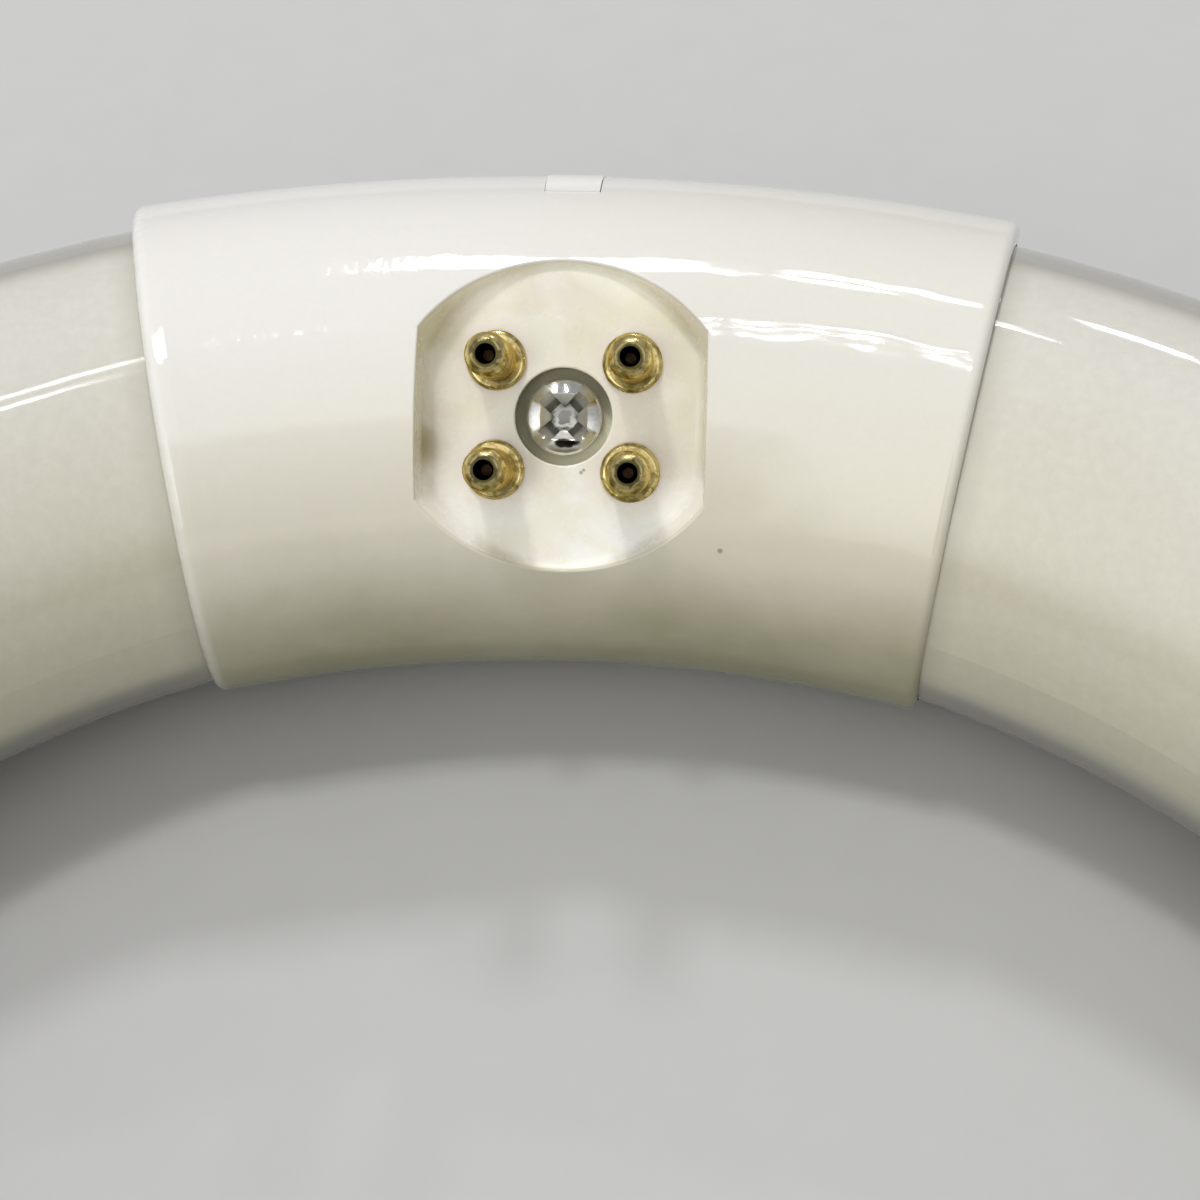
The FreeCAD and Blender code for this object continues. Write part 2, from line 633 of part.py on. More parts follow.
def lead_wire(label, along, across):
    """A wire that starts inside the glass end, bends up into its pin and is trimmed at the glass."""
    side = "-" if number(along) < 0 else ""
    sign = -1 if side else 1
    body = doc.addObject("PartDesign::Body", label + "_bent")
    start_x = f"{side}(tube_end_reach + 2 * overcut)"
    bend_x = f"{along} + {sign} * wire_bend"
    spine = new_sketch(body, "XZ_Plane", "wire_path")
    spine.AttachmentOffset = FreeCAD.Placement(FreeCAD.Vector(0, 0, -number(across)), FreeCAD.Rotation())
    spine.setExpression("AttachmentOffset.Base.z", full(f"-({across})"))
    run = spine.addGeometry(Part.LineSegment(vector(start_x, "wire_height"), vector(bend_x, "wire_height")), False)
    circle = Part.Circle(vector(bend_x, "wire_height + wire_bend"), FreeCAD.Vector(0, 0, 1), number("wire_bend"))
    first, last = (180, 270) if sign > 0 else (270, 360)
    bend = spine.addGeometry(Part.ArcOfCircle(circle, math.radians(first), math.radians(last)), False)
    top = f"{RECESS_FLOOR} + pin_height - wire_end_depth"
    rise = spine.addGeometry(Part.LineSegment(vector(along, "wire_height + wire_bend"), vector(along, top)), False)
    low, high = (2, 1) if sign > 0 else (1, 2)
    join(spine, run, 2, bend, low)
    join(spine, bend, high, rise, 1)
    pin_down(spine, run, 1, start_x, "wire_height")
    pin_down(spine, run, 2, bend_x, "wire_height")
    pin_down(spine, rise, 1, along, "wire_height + wire_bend")
    pin_down(spine, rise, 2, along, top)
    hold(spine, "Radius", (bend,), "wire_bend")
    round_section = new_sketch(body, "YZ_Plane", "wire_section")
    round_section.AttachmentOffset = FreeCAD.Placement(FreeCAD.Vector(0, 0, number(start_x)), FreeCAD.Rotation())
    round_section.setExpression("AttachmentOffset.Base.z", full(start_x))
    add_circle(round_section, across, "wire_height", "wire_radius")
    pipe = body.newObject("PartDesign::AdditivePipe", "wire")
    pipe.Profile = round_section
    pipe.Spine = (spine, ["Edge1", "Edge2", "Edge3"])
    body.Tip = pipe
    body.Placement = seat_placement("0", "0", "0")
    bind_seat(body, "Placement", "0", "0", "0")
    wire = doc.addObject("Part::Cut", label)
    wire.Label = label
    wire.Base = body
    wire.Tool = glass
    doc.recompute()
    return wire


wires = [lead_wire(f"lead_wire_{count}", *place) for count, place in enumerate(PIN_PLACES, start=1)]


# Check and write the pieces

doc.recompute()
for item in doc.Objects:
    if "Invalid" in item.State or "Error" in item.State:
        raise RuntimeError(f"{item.Label}: {item.State}")
nodes = [glass, front, rear, screw] + pins + wires
os.makedirs("parts", exist_ok=True)
for node in nodes:
    if node.Shape.isNull() or not node.Shape.isValid():
        raise RuntimeError(f"{node.Label} has no valid shape")
    if len(node.Shape.Solids) != 1:
        raise RuntimeError(f"{node.Label} has {len(node.Shape.Solids)} solids")
    node.Shape.exportStep(f"parts/{node.Label}.step")
    print(node.Label, round(node.Shape.Volume, 2), node.Shape.BoundBox)
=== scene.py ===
"""Circular fluorescent tube with its four-pin base: finishes, floor, light and camera."""

import bpy
from mathutils import Matrix, Vector


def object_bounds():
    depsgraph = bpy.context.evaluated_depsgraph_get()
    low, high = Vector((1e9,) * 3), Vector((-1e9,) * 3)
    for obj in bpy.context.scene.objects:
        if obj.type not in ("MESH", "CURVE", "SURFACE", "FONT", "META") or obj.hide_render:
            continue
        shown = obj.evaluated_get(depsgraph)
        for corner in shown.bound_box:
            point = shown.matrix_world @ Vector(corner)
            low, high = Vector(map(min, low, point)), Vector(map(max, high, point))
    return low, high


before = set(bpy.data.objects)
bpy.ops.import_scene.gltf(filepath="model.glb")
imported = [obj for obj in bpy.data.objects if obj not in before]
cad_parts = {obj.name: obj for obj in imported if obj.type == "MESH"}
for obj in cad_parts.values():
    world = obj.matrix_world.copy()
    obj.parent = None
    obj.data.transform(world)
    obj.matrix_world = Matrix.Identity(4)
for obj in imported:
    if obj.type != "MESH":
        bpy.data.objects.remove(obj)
cad_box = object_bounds()

# Places and directions in the CAD frame, in metres
MM = 0.001
ALONG_X = (1.0, 0.0, 0.0)
ALONG_Y = (0.0, 1.0, 0.0)
BASE_CENTRE = (0.0, 0.0684, 0.0)
BASE_RING_CENTRE = (0.0, -0.0196, 0.0)
BASE_RING_RADIUS = 0.088
BASE_RADIUS = 0.01545
BASE_END = (0.025, 0.064774, 0.0)
END_NORMAL = (0.969, -0.247, 0.0)
TUBE_RING_CENTRE = (0.0, 0.0, 0.0)
TUBE_RING_RADIUS = 0.069
TUBE_RADIUS = 0.0143

# The recess: heights along the pins from the base's centre, and half the pins' spacing
ALONG_PINS = (0.0, -0.70710678, 0.70710678)
ACROSS_BASE = (0.0, 0.70710678, 0.70710678)
RECESS_FLOOR = 0.012
PIN_ALONG = 0.00396
PIN_ACROSS = 0.003175
PIN_TIP = 0.0189
WELL_RADIUS = 0.00285
SCREW_CROWN = 0.0119
CROWN_RADIUS = 0.00452

# Direction in a ring's section, outwards and up, of the side that yellows most; on the base, that side also
# carries painted shade
AGED_AND_SHADED_SIDE = (-0.8, -0.6)

# Marks on the base: two specks of dirt, one of them long, and two patches of painted shade at the recess's
# left wall and upper-left rim
OUTER_SPECK = (0.009262, 0.053086, 0.004674)
RECESS_SPECK = (0.001100, 0.057630, 0.006200)
RECESS_SPECK_END = (0.001250, 0.057735, 0.006305)
LEFT_WALL_SHADE = (-0.00835, 0.05862, 0.00719)
UPPER_RIM_SHADE = (-0.00760, 0.06377, 0.01250)

# Strip along the base's left end that is worn off at a slope
WORN_WIDTH = 1.3 * MM
WORN_SLOPE = 0.1175

# Dark stretch in front of the base, where the viewer stands: its middle, outer and inner edge, as
# steps to the side for each step ahead
VIEWER_MIDDLE = 0.03
VIEWER_OUTER = 0.34
VIEWER_INNER = 0.20
LEAST_AHEAD = 0.001

FLOOR_REACH = 30.0
SKY_LEVEL = 0.32
FRONT_LIGHT = (-0.217, -0.968, 0.121)
FRONT_LEVEL = 2.5
FRONT_SHARPNESS = 2.5

# Lamps at one height: name, place over the floor, direction of the length, length, width and power.
# The strips lie where the highlights on the moulding and the glass point
LAMP_HEIGHT = 1.0
ALONG_LEFT_LEG = (-0.47, 0.88, 0.0)
STRIPS = [
    ("strip_wide", (-0.073, 0.665), ALONG_X, 0.14, 0.15, 2.8),
    ("strip_low", (0.047, 0.633), ALONG_X, 0.04, 0.03, 0.25),
    ("strip_high", (0.092, 0.700), ALONG_X, 0.10, 0.008, 0.14),
    ("strip_high_edge", (0.092, 0.745), ALONG_X, 0.10, 0.006, 0.07),
    ("strip_high_glow", (0.092, 0.722), ALONG_X, 0.10, 0.045, 0.05),
    ("strip_near", (-0.037, 0.055), ALONG_Y, 0.026, 0.008, 0.13),
    ("strip_near_edge", (-0.037, 0.108), ALONG_Y, 0.008, 0.008, 0.03),
    ("strip_left_low", (0.015, 0.066), ALONG_LEFT_LEG, 0.024, 0.012, 0.05),
    ("strip_left_high", (-0.028, 0.147), ALONG_LEFT_LEG, 0.024, 0.012, 0.05),
    ("strip_far", (0.39, 1.19), ALONG_X, 0.10, 0.06, 1.2),
    ("strip_end", (-0.30, 0.07), ALONG_X, 0.10, 0.24, 0.5),
]

# The photograph's camera: focal length and width in its pixels, then its place and directions
PHOTO_FOCAL = 1930.533
PHOTO_WIDTH = 1200.0
SENSOR_WIDTH = 36.0
CAMERA_PLACE = (0.006412, -0.021843, 0.086253)
CAMERA_RIGHT = (0.9990537, 0.0421830, -0.0105965)
CAMERA_DOWN = (0.0248509, -0.7535775, -0.6568891)
CAMERA_FORWARD = (-0.0356949, 0.6560042, -0.7539127)


class Nodes:
    """The nodes of one material or world, with the object's own coordinates as the place."""

    def __init__(self, owner):
        owner.use_nodes = True
        self.tree = owner.node_tree
        self.tree.nodes.clear()
        self.here = None

    def add(self, kind, **settings):
        node = self.tree.nodes.new(kind)
        for name, value in settings.items():
            setattr(node, name, value)
        return node

    def feed(self, socket, value):
        """Links a node's output to a socket, or sets a constant on it."""
        if isinstance(value, bpy.types.NodeSocket):
            self.tree.links.new(value, socket)
        else:
            socket.default_value = value

    def place(self):
        """A point's place on the object."""
        if self.here is None:
            self.here = self.add("ShaderNodeTexCoord").outputs["Object"]
        return self.here

    def maths(self, operation, a, b=0.0):
        node = self.add("ShaderNodeMath", operation=operation)
        self.feed(node.inputs[0], a)
        self.feed(node.inputs[1], b)
        return node.outputs[0]

    def vector(self, operation, a, b=None, output="Vector"):
        node = self.add("ShaderNodeVectorMath", operation=operation)
        self.feed(node.inputs[0], a)
        if b is not None:
            self.feed(node.inputs[1], b)
        return node.outputs[output]

    def parts(self, whole):
        """A vector's x, y and z."""
        node = self.add("ShaderNodeSeparateXYZ")
        self.feed(node.inputs[0], whole)
        return list(node.outputs)

    def joined(self, x, y):
        """A vector of an x and a y."""
        node = self.add("ShaderNodeCombineXYZ")
        self.feed(node.inputs[0], x)
        self.feed(node.inputs[1], y)
        return node.outputs[0]

    def distance(self, first, second):
        """Length of a step of two sizes at right angles."""
        return self.vector("LENGTH", self.joined(first, second), None, "Value")

    def noise(self, scale, detail=3.0, rough=0.5, where=None, distortion=0.0):
        node = self.add("ShaderNodeTexNoise")
        self.feed(node.inputs["Vector"], self.place() if where is None else where)
        node.inputs["Scale"].default_value = scale
        node.inputs["Detail"].default_value = detail
        node.inputs["Roughness"].default_value = rough
        node.inputs["Distortion"].default_value = distortion
        return node.outputs["Fac"]

    def stretched(self, scale):
        """The place, with each axis scaled by its own number."""
        node = self.add("ShaderNodeMapping")
        self.feed(node.inputs["Vector"], self.place())
        node.inputs["Scale"].default_value = scale
        return node.outputs["Vector"]

    def span(self, value, low, high, out_low=0.0, out_high=1.0, smooth=True):
        """The value from low to high, as a number from out_low to out_high."""
        node = self.add("ShaderNodeMapRange", interpolation_type="SMOOTHSTEP" if smooth else "LINEAR")
        self.feed(node.inputs["Value"], value)
        self.feed(node.inputs["From Min"], low)
        self.feed(node.inputs["From Max"], high)
        self.feed(node.inputs["To Min"], out_low)
        self.feed(node.inputs["To Max"], out_high)
        return node.outputs["Result"]

    def mix(self, share, first, second, blend="MIX"):
        """One colour blended into another. The node's colour sockets are 6, 7 and 2."""
        node = self.add("ShaderNodeMix", data_type="RGBA", blend_type=blend)
        self.feed(node.inputs["Factor"], share)
        self.feed(node.inputs[6], first)
        self.feed(node.inputs[7], second)
        return node.outputs[2]

    def bump(self, height, depth, normal=None):
        """A bump whose full height is depth metres."""
        node = self.add("ShaderNodeBump")
        node.inputs["Strength"].default_value = 1.0
        node.inputs["Distance"].default_value = depth
        self.feed(node.inputs["Height"], height)
        if normal is not None:
            self.feed(node.inputs["Normal"], normal)
        return node.outputs["Normal"]

    def spot(self, centre, size, core=0.4):
        """1 on a round spot at a place on the surface, fading from its core out to 0."""
        away = self.vector("DISTANCE", self.place(), centre, "Value")
        return self.span(away, size, core * size)

    def section(self, ring_centre, ring_radius):
        """A point's place in a ring's section: outwards from the centreline, and up."""
        x, y, up = self.parts(self.vector("SUBTRACT", self.place(), ring_centre))
        return self.maths("SUBTRACT", self.distance(x, y), ring_radius), up

    def seat_place(self):
        """A point's place in the base: along it, across the pins and up along the pins."""
        from_base = self.vector("SUBTRACT", self.place(), BASE_CENTRE)
        return [self.vector("DOT_PRODUCT", from_base, axis, "Value")
                for axis in (ALONG_X, ACROSS_BASE, ALONG_PINS)]

    def pin_place(self, length, across):
        """A point's place from the nearest pin's axis, along the base and across it."""
        pin_side = self.maths("MULTIPLY", self.maths("SIGN", across), PIN_ACROSS)
        return (self.maths("SUBTRACT", self.maths("ABSOLUTE", length), PIN_ALONG),
                self.maths("SUBTRACT", across, pin_side))

    def past_end(self):
        """How far a point lies past the base's nearer end face."""
        x, y = self.parts(self.place())[:2]
        folded = self.joined(self.maths("ABSOLUTE", x), y)
        return self.vector("DOT_PRODUCT", self.vector("SUBTRACT", folded, BASE_END), END_NORMAL, "Value")

    def towards_aged_and_shaded_side(self, out, up, radius):
        """1 on a section's most yellowed side, which on the base also carries painted shade, -1 opposite to
        it.
        """
        return self.maths("ADD", self.maths("MULTIPLY", out, AGED_AND_SHADED_SIDE[0] / radius),
                          self.maths("MULTIPLY", up, AGED_AND_SHADED_SIDE[1] / radius))

    def viewer_side(self, sideways, ahead):
        """1 in the dark stretch in front of the base, 0 to its left and right."""
        off_middle = self.maths("SUBTRACT", self.maths("DIVIDE", sideways, ahead), VIEWER_MIDDLE)
        return self.span(self.maths("ABSOLUTE", off_middle), VIEWER_OUTER, VIEWER_INNER)

    def principled(self):
        shader = self.add("ShaderNodeBsdfPrincipled")
        output = self.add("ShaderNodeOutputMaterial")
        self.tree.links.new(shader.outputs["BSDF"], output.inputs["Surface"])
        return shader


def colour(red, green, blue):
    return (red, green, blue, 1.0)


WHITE = colour(1.0, 1.0, 1.0)


# Base plastic: glossy warm-white moulding, yellowed and darkened with painted shade on the side that faces
# the ring's middle
def make_base_plastic(name, fresh, creamy, aged_and_shaded):
    material = bpy.data.materials.new(name)
    n = Nodes(material)
    shader = n.principled()
    length, across, lift = n.seat_place()
    left_half = n.span(length, 0.0, -1.0 * MM)
    past = n.past_end()

    # How far a point lies under the moulding's outer skin, which tells the recess from the outside
    out, up = n.section(BASE_RING_CENTRE, BASE_RING_RADIUS)
    under = n.maths("SUBTRACT", BASE_RADIUS, n.distance(out, up))
    near_middle = n.span(n.maths("ABSOLUTE", length), 9.2 * MM, 8.8 * MM)
    recess = n.maths("MULTIPLY", n.span(under, 0.10 * MM, 0.35 * MM), near_middle)

    # Outside colour, from fresh on top to creamy in front and aged below, where painted shade darkens it too;
    # a painted highlight pales the left end
    cloud = n.span(n.noise(110.0, 4.0, 0.55), 0.2, 0.8, -0.07, 0.07)
    side = n.maths("ADD", n.towards_aged_and_shaded_side(out, up, BASE_RADIUS), cloud)
    outside = n.mix(n.span(side, -0.25, 0.45), fresh, creamy)
    outside = n.mix(n.span(side, 0.47, 1.10), outside, aged_and_shaded)
    faded = n.mix(n.span(length, -16.0 * MM, 20.0 * MM), WHITE, colour(0.93, 0.925, 0.885))
    outside = n.mix(1.0, outside, faded, "MULTIPLY")
    # Painted highlight: the left end's rounded edge is painted paler
    rubbed_and_highlight = n.maths("MULTIPLY", n.span(past, -0.95 * MM, -0.25 * MM, 0.0, 0.5), left_half)
    outside = n.mix(rubbed_and_highlight, outside, colour(0.96, 0.945, 0.885))

    # Recess colour: creamy and cloudy, with pinkish patches, a pinkish painted reflection of the brass around
    # each pin, and olive-brown painted shade along its left wall and upper-left rim
    patch = n.noise(210.0, 2.0, 0.45, distortion=1.2)
    patched = n.span(patch, 0.40, 0.62)
    high = n.mix(patched, colour(0.965, 0.95, 0.82), colour(0.90, 0.865, 0.70))
    low = n.mix(patched, colour(0.975, 0.965, 0.915), colour(0.935, 0.91, 0.79))
    cream = n.mix(n.span(across, -7.0 * MM, 3.0 * MM), low, high)
    pink = n.span(n.noise(330.0, 2.0, 0.5, distortion=0.6), 0.50, 0.66, 0.0, 0.4)
    # Pinkish halo around each pin: painted reflection of the brass
    around_pin = n.distance(*n.pin_place(length, across))
    pink = n.maths("MAXIMUM", pink, n.span(around_pin, 3.1 * MM, 1.7 * MM, 0.0, 0.6))
    cream = n.mix(pink, cream, colour(0.93, 0.86, 0.815))
    # Olive-brown painted shade on the left wall and at the upper-left rim
    stain_and_shade = n.maths("MAXIMUM", n.spot(LEFT_WALL_SHADE, 2.0 * MM, 0.1),
                    n.maths("MULTIPLY", n.spot(UPPER_RIM_SHADE, 2.6 * MM, 0.1), 0.2))
    stain_and_shade = n.maths("MULTIPLY", stain_and_shade, n.span(patch, 0.25, 0.6, 0.45, 0.85))
    cream = n.mix(stain_and_shade, cream, colour(0.50, 0.43, 0.25))

    # Painted shade darkens the well around the screw, less of it at its lower right, where painted light
    # falls
    in_well = n.span(n.distance(length, across), WELL_RADIUS + 0.2 * MM, WELL_RADIUS + 0.05 * MM)
    sunk = n.span(lift, RECESS_FLOOR - 0.08 * MM, RECESS_FLOOR - 0.30 * MM)
    slant = n.maths("SUBTRACT", n.maths("MULTIPLY", length, 0.6), n.maths("MULTIPLY", across, 0.8))
    darkened = n.mix(n.span(slant, 0.0, 2.6 * MM), colour(0.45, 0.42, 0.27), colour(0.92, 0.90, 0.72))
    cream = n.mix(n.maths("MULTIPLY", in_well, sunk), cream, darkened)

    # Fine grain and specks of dirt on all of it
    grain = n.mix(n.noise(2600.0, 2.0, 0.6), colour(0.955, 0.955, 0.95), WHITE)
    body = n.mix(1.0, n.mix(recess, outside, cream), grain, "MULTIPLY")
    dirt = n.maths("MAXIMUM", n.spot(OUTER_SPECK, 0.22 * MM), n.spot(RECESS_SPECK, 0.15 * MM))
    dirt = n.maths("MAXIMUM", dirt, n.spot(RECESS_SPECK_END, 0.13 * MM))
    body = n.mix(n.maths("MULTIPLY", dirt, 0.7), body, colour(0.24, 0.20, 0.12))
    n.feed(shader.inputs["Base Color"], body)

    # Gloss: polished outside, duller in the recess
    polish = n.span(n.noise(700.0, 3.0, 0.6), 0.2, 0.8, 0.03, 0.07)
    n.feed(shader.inputs["Roughness"], n.maths("ADD", polish, n.maths("MULTIPLY", recess, 0.22)))
    shader.inputs["IOR"].default_value = 1.53
    shader.inputs["Specular IOR Level"].default_value = 0.5

    # The moulding's slow waves, calmer on the left
    calm = n.span(length, -9.0 * MM, 3.0 * MM, 0.2, 1.0)
    slow = n.noise(1.0, 2.0, 0.5, n.stretched((95.0, 170.0, 170.0)))
    normal = n.bump(n.maths("MULTIPLY", slow, calm), 0.13 * MM)

    # The worn strip at the left end, uneven, with its height in metres
    worn = n.maths("MULTIPLY", n.maths("MAXIMUM", n.maths("ADD", past, WORN_WIDTH), 0.0), -WORN_SLOPE)
    worn = n.maths("MULTIPLY", worn, n.span(n.noise(900.0, 2.0, 0.5), 0.3, 0.7, 0.9, 1.1))
    normal = n.bump(n.maths("MULTIPLY", worn, left_half), 1.0, normal)

    # A ripple all over, scuffs that break up the highlight on the left, and a fine skin
    ripple = n.noise(1.0, 2.0, 0.5, n.stretched((420.0, 650.0, 650.0)))
    normal = n.bump(ripple, 0.004 * MM, normal)
    scuffs = n.noise(1.0, 2.0, 0.5, n.stretched((900.0, 600.0, 600.0)))
    scuffs = n.maths("MULTIPLY", scuffs, n.span(length, -1.0 * MM, -6.0 * MM))
    normal = n.bump(scuffs, 0.016 * MM, normal)
    normal = n.bump(n.noise(1900.0, 2.0, 0.5), 0.0007 * MM, normal)
    n.feed(shader.inputs["Normal"], normal)
    return material


# Glass: a matte phosphor coat seen through clear, smooth glass, which hides it at the glass's rim; there the
# coat is painted grey, a painted reflection of darker surroundings
def make_coated_glass():
    material = bpy.data.materials.new("coated_glass")
    n = Nodes(material)
    shader = n.principled()
    out, up = n.section(TUBE_RING_CENTRE, TUBE_RING_RADIUS)
    cloud = n.span(n.noise(55.0, 4.0, 0.6), 0.2, 0.8, -0.3, 0.3)
    side = n.maths("ADD", n.towards_aged_and_shaded_side(out, up, TUBE_RADIUS), cloud)
    coat = n.mix(n.span(side, -0.5, 0.9), colour(0.702, 0.678, 0.62), colour(0.693, 0.664, 0.528))
    powder = n.noise(1500.0, 4.0, 0.7)
    grains = n.mix(n.span(powder, 0.3, 0.75), colour(0.94, 0.94, 0.93), WHITE)
    coat = n.mix(1.0, coat, grains, "MULTIPLY")
    # Painted reflection: the coat turns grey towards the rim
    rim = n.add("ShaderNodeLayerWeight")
    rim.inputs["Blend"].default_value = 0.5
    clear = n.span(rim.outputs["Facing"], 0.52, 0.74)
    coat = n.mix(clear, coat, colour(0.37, 0.362, 0.325))

    # Grime and painted shade where the glass enters the base
    grime_and_shade = n.span(n.past_end(), 1.9 * MM, 0.0, 0.0, 0.35)
    n.feed(shader.inputs["Base Color"], n.mix(grime_and_shade, coat, colour(0.40, 0.38, 0.31)))
    n.feed(shader.inputs["Roughness"], n.span(powder, 0.2, 0.8, 0.55, 0.75))
    shader.inputs["Specular IOR Level"].default_value = 0.15
    n.feed(shader.inputs["Normal"], n.bump(powder, 0.006 * MM))
    shader.inputs["Coat Weight"].default_value = 1.0
    shader.inputs["Coat Roughness"].default_value = 0.05
    shader.inputs["Coat IOR"].default_value = 1.5
    n.feed(shader.inputs["Coat Normal"], n.bump(n.noise(75.0, 2.0, 0.5), 0.05 * MM))
    return material


# Brass of the pins: bright with rubbed tones, painted shade in brown on their lower side, brown at the foot,
# dark around the hole and painted shade inside it
def make_pin_brass():
    material = bpy.data.materials.new("pin_brass")
    n = Nodes(material)
    shader = n.principled()
    length, across, lift = n.seat_place()
    own_length, own_across = n.pin_place(length, across)
    radius = n.distance(own_length, own_across)

    rubbed_and_highlight = n.span(n.noise(3000.0, 2.0, 0.5), 0.3, 0.7)
    bright = n.mix(rubbed_and_highlight, colour(0.97, 0.82, 0.42), colour(0.90, 0.74, 0.34))
    # Painted shade: brown on the pins' lower side
    painted_shade_below = n.span(own_across, 0.2 * MM, -1.3 * MM, 0.0, 0.55)
    foot = n.span(lift, RECESS_FLOOR + 0.75 * MM, RECESS_FLOOR + 0.1 * MM, 0.0, 0.45)
    tarnish = n.noise(1400.0, 4.0, 0.6, distortion=0.5)
    brown = n.maths("ADD", n.maths("MAXIMUM", painted_shade_below, foot), n.span(tarnish, 0.44, 0.66, 0.0, 0.58))
    body = n.mix(n.maths("MINIMUM", brown, 0.92), bright, colour(0.17, 0.13, 0.02))

    # Dark around the hole, and painted shade inside it
    ragged = n.maths("ADD", radius, n.span(tarnish, 0.3, 0.7, -0.12 * MM, 0.12 * MM))
    mouth = n.maths("MULTIPLY", n.span(ragged, 0.93 * MM, 0.68 * MM, 0.0, 0.95),
                    n.span(lift, PIN_TIP - 0.5 * MM, PIN_TIP - 0.1 * MM))
    body = n.mix(mouth, body, colour(0.07, 0.06, 0.02))
    inside = n.maths("MULTIPLY", n.span(radius, 0.66 * MM, 0.60 * MM),
                     n.span(lift, PIN_TIP, PIN_TIP - 0.25 * MM))
    n.feed(shader.inputs["Base Color"], n.mix(inside, body, colour(0.06, 0.04, 0.015)))
    shader.inputs["Metallic"].default_value = 1.0
    shader.inputs["Specular Tint"].default_value = colour(0.70, 0.56, 0.25)
    n.feed(shader.inputs["Roughness"], n.span(tarnish, 0.3, 0.7, 0.16, 0.38))
    n.feed(shader.inputs["Normal"], n.bump(n.noise(1600.0, 3.0, 0.6), 0.010 * MM))
    return material


# Plated steel of the screw: bright with a faint stain, darker in its cross, with painted shade, a painted
# highlight and a painted dark reflection
def make_plated_steel():
    material = bpy.data.materials.new("plated_steel")
    n = Nodes(material)
    shader = n.principled()
    stain_and_shade = n.noise(1200.0, 3.0, 0.55)
    bright = n.mix(n.span(stain_and_shade, 0.35, 0.7), colour(0.88, 0.88, 0.85), colour(0.68, 0.68, 0.64))

    # Darker grey in the cross recess, below the head's round crown, and scuffs beside it, and painted shade
    # near black deep in the cross
    length, across, lift = n.seat_place()
    off_along = n.maths("ABSOLUTE", length)
    off_across = n.maths("ABSOLUTE", across)
    radius = n.distance(length, across)
    drop = n.maths("DIVIDE", n.maths("MULTIPLY", radius, radius), 2.0 * CROWN_RADIUS)
    depth = n.maths("SUBTRACT", n.maths("SUBTRACT", SCREW_CROWN, drop), lift)
    sunk = n.span(depth, 0.045 * MM, 0.12 * MM, 0.0, 0.85)
    # Painted shade, near black, deep in the cross
    core = n.span(depth, 0.60 * MM, 0.85 * MM, 0.0, 0.6)
    corner = n.maths("ABSOLUTE", n.maths("SUBTRACT", off_along, off_across))
    scuffed = n.maths("MULTIPLY", n.span(corner, 0.95 * MM, 0.6 * MM), 0.8)
    scuffed = n.maths("MAXIMUM", sunk, scuffed)
    darkened = n.mix(stain_and_shade, colour(0.76, 0.75, 0.70), colour(0.38, 0.375, 0.335))
    body = n.mix(scuffed, bright, darkened)
    body = n.mix(core, body, colour(0.10, 0.10, 0.08))

    # A painted highlight: a bright square at the bottom of the cross, brightest on its lower side
    ragged = n.span(n.noise(2800.0, 2.0, 0.5), 0.3, 0.7, -0.09 * MM, 0.09 * MM)
    square = n.maths("ADD", n.maths("MAXIMUM", off_along, off_across), ragged)
    painted_highlight_square = n.maths("MULTIPLY", n.span(square, 0.32 * MM, 0.42 * MM), n.span(square, 0.66 * MM, 0.56 * MM))
    painted_highlight_square = n.maths("MULTIPLY", painted_highlight_square, n.span(across, 0.5 * MM, -0.5 * MM, 0.3, 0.95))
    body = n.mix(n.maths("MULTIPLY", painted_highlight_square, core), body, colour(1.0, 1.0, 0.98))

    # A painted dark reflection in an oval below the bright square
    oval = n.distance(n.maths("DIVIDE", length, 0.75 * MM),
                      n.maths("DIVIDE", n.maths("ADD", across, 1.50 * MM), 0.25 * MM))
    painted_dark_reflection = n.span(n.maths("ADD", oval, n.span(stain_and_shade, 0.3, 0.7, -0.3, 0.3)), 1.2, 0.8)
    n.feed(shader.inputs["Base Color"], n.mix(painted_dark_reflection, body, colour(0.035, 0.033, 0.026)))
    shader.inputs["Metallic"].default_value = 1.0

    # Gloss: dull where it is dirty, most of all on the cross's lower facet
    low_facet = n.maths("MULTIPLY", sunk, n.span(across, -0.75 * MM, -0.95 * MM))
    dull = n.maths("MAXIMUM", n.maths("MULTIPLY", scuffed, 0.32), n.maths("MULTIPLY", low_facet, 0.55))
    n.feed(shader.inputs["Roughness"], n.maths("ADD", n.span(stain_and_shade, 0.3, 0.75, 0.07, 0.18), dull))
    n.feed(shader.inputs["Normal"], n.bump(n.noise(1500.0, 3.0, 0.55), 0.010 * MM))
    return material


# Bare lead wires, dull and dark brown
def make_lead_wire():
    material = bpy.data.materials.new("lead_wire")
    n = Nodes(material)
    shader = n.principled()
    dull = n.noise(2400.0, 3.0, 0.6)
    n.feed(shader.inputs["Base Color"], n.mix(dull, colour(0.07, 0.042, 0.022), colour(0.03, 0.018, 0.01)))
    shader.inputs["Metallic"].default_value = 1.0
    n.feed(shader.inputs["Roughness"], n.span(dull, 0.3, 0.7, 0.35, 0.55))
    n.feed(shader.inputs["Normal"], n.bump(dull, 0.004 * MM))
    return material


# The rear half is painted whiter than the front: a lit copy of the same plastic, standing in for the
# highlight on its tongue
front_plastic = make_base_plastic("base_plastic", colour(0.855, 0.835, 0.80), colour(0.858, 0.82, 0.70),
                                  colour(0.378, 0.363, 0.205))
rear_plastic = make_base_plastic("base_plastic_rear", colour(0.97, 0.965, 0.95), colour(0.93, 0.91, 0.84),
                                 colour(0.45, 0.435, 0.275))
finishes = {"glass_tube": make_coated_glass(), "base_front": front_plastic, "base_rear": rear_plastic,
            "base_screw": make_plated_steel(), "contact_pin": make_pin_brass(), "lead_wire": make_lead_wire()}
for name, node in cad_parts.items():
    chosen = next(finish for start, finish in finishes.items() if name.startswith(start))
    if not node.material_slots:
        node.data.materials.append(chosen)
    for material_slot in node.material_slots:
        material_slot.material = chosen
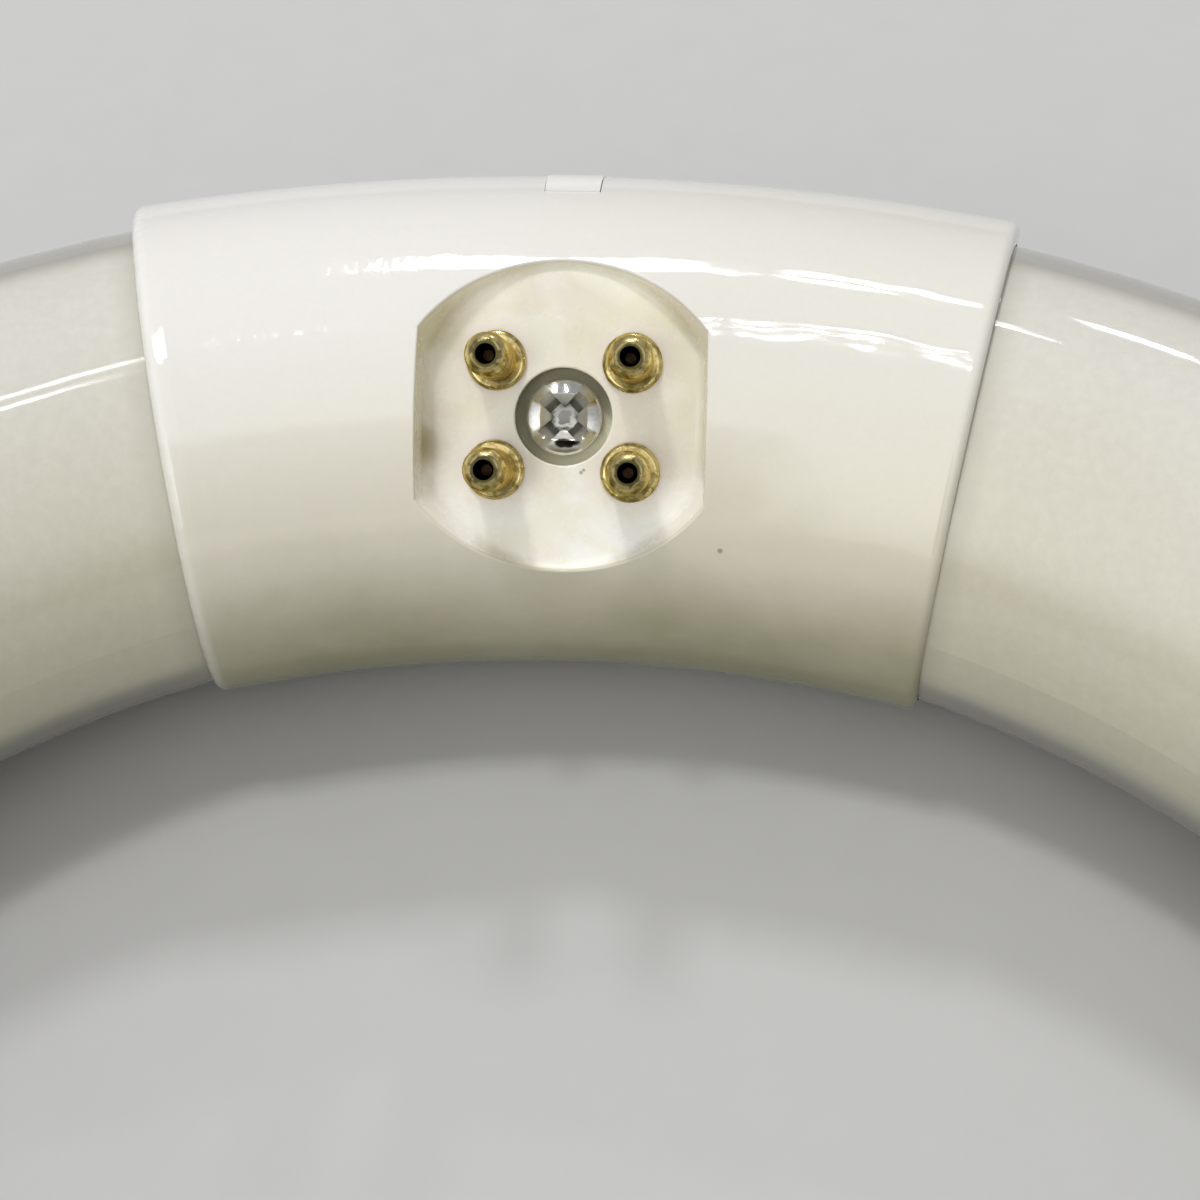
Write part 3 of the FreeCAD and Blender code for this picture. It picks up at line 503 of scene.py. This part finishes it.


# Floor: a plain pale sheet under the lowest point of the base, with the viewer's dark as a painted dark
# reflection in mirrors only
def make_floor(height):
    mesh = bpy.data.meshes.new("floor")
    corners = [(x * FLOOR_REACH, y * FLOOR_REACH, height) for x, y in ((-1, -1), (1, -1), (1, 1), (-1, 1))]
    mesh.from_pydata(corners, [], [(0, 1, 2, 3)])
    floor = bpy.data.objects.new("floor", mesh)
    bpy.context.scene.collection.objects.link(floor)
    material = bpy.data.materials.new("floor_paper")
    n = Nodes(material)
    shader = n.principled()
    fibre = n.noise(240.0, 4.0, 0.6)
    paper = n.mix(fibre, colour(0.55, 0.55, 0.545), colour(0.58, 0.58, 0.575))
    seen = n.add("ShaderNodeLightPath")
    # The viewer's dark: a painted dark reflection on the floor, seen in mirrors only
    x, y = n.parts(n.place())[:2]
    ahead = n.maths("MAXIMUM", n.maths("SUBTRACT", BASE_CENTRE[1], y), LEAST_AHEAD)
    viewer = n.maths("MULTIPLY", n.viewer_side(x, ahead), n.span(ahead, 0.12, 0.20))
    viewer = n.maths("MULTIPLY", viewer, seen.outputs["Is Glossy Ray"])
    paper = n.mix(viewer, paper, colour(0.03, 0.03, 0.03))

    # Darker for the light that it throws back on the part
    mirrored = n.maths("MAXIMUM", seen.outputs["Is Glossy Ray"], seen.outputs["Is Transmission Ray"])
    pale = n.maths("MAXIMUM", seen.outputs["Is Camera Ray"], mirrored)
    n.feed(shader.inputs["Base Color"], n.mix(pale, colour(0.23, 0.222, 0.20), paper))
    n.feed(shader.inputs["Roughness"], n.span(fibre, 0.2, 0.8, 0.8, 0.95))
    shader.inputs["Specular IOR Level"].default_value = 0.2
    mesh.materials.append(material)


make_floor(cad_box[0][2])


# Sky: even soft light, more of it from low in front, and dark where the viewer stands
def make_world():
    world = bpy.data.worlds.new("studio")
    bpy.context.scene.world = world
    n = Nodes(world)
    direction = n.add("ShaderNodeTexCoord").outputs["Generated"]
    sideways, back, up = n.parts(direction)
    ahead = n.maths("MAXIMUM", n.maths("MULTIPLY", back, -1.0), LEAST_AHEAD)
    rise = n.maths("DIVIDE", up, ahead)
    viewer = n.maths("MULTIPLY", n.viewer_side(sideways, ahead), n.span(rise, 1.2, 0.9))

    facing = n.vector("DOT_PRODUCT", direction, Vector(FRONT_LIGHT).normalized(), "Value")
    front = n.maths("POWER", n.maths("MAXIMUM", facing, 0.0), FRONT_SHARPNESS)
    front = n.maths("MULTIPLY", front, FRONT_LEVEL)
    front = n.maths("MULTIPLY", front, n.span(up, 0.0, 0.35, 0.3, 1.0))
    soft = n.maths("MULTIPLY", n.maths("ADD", front, SKY_LEVEL),
                   n.span(viewer, 0.0, 1.0, 1.0, 0.1, smooth=False))
    background = n.add("ShaderNodeBackground")
    background.inputs["Color"].default_value = WHITE
    n.feed(background.inputs["Strength"], soft)
    output = n.add("ShaderNodeOutputWorld")
    n.feed(output.inputs["Surface"], background.outputs[0])


make_world()


def add_lamp(name, place, along, length, width, power, mirrored=True):
    """A rectangular lamp over a place, its length in one direction, shining at the base's centre."""
    data = bpy.data.lights.new(name, "AREA")
    data.shape = "RECTANGLE"
    data.size = length
    data.size_y = width
    data.energy = power
    lamp = bpy.data.objects.new(name, data)
    middle = Vector((*place, LAMP_HEIGHT))
    back = (middle - Vector(BASE_CENTRE)).normalized()
    side = Vector(along)
    side = (side - back * side.dot(back)).normalized()
    lamp.matrix_world = Matrix((side, back.cross(side), back)).transposed().to_4x4()
    lamp.matrix_world.translation = middle
    lamp.visible_camera = False
    lamp.visible_glossy = mirrored
    bpy.context.scene.collection.objects.link(lamp)


for strip in STRIPS:
    add_lamp(*strip)

# One lamp for the pins' shadows, which isn't mirrored
add_lamp("overhead", (-0.17, 0.07), ALONG_X, 0.08, 0.12, 2.1, mirrored=False)

# Camera at the photograph's viewing angle
camera_data = bpy.data.cameras.new("camera")
camera_data.sensor_fit = "HORIZONTAL"
camera_data.sensor_width = SENSOR_WIDTH
camera_data.lens = SENSOR_WIDTH * PHOTO_FOCAL / PHOTO_WIDTH
camera_data.clip_start = 0.005
camera = bpy.data.objects.new("camera", camera_data)
camera_axes = (Vector(CAMERA_RIGHT), -Vector(CAMERA_DOWN), -Vector(CAMERA_FORWARD))
camera.matrix_world = Matrix(camera_axes).transposed().to_4x4()
camera.matrix_world.translation = Vector(CAMERA_PLACE)
bpy.context.scene.collection.objects.link(camera)
bpy.context.scene.camera = camera
bpy.context.scene.view_settings.view_transform = "Standard"
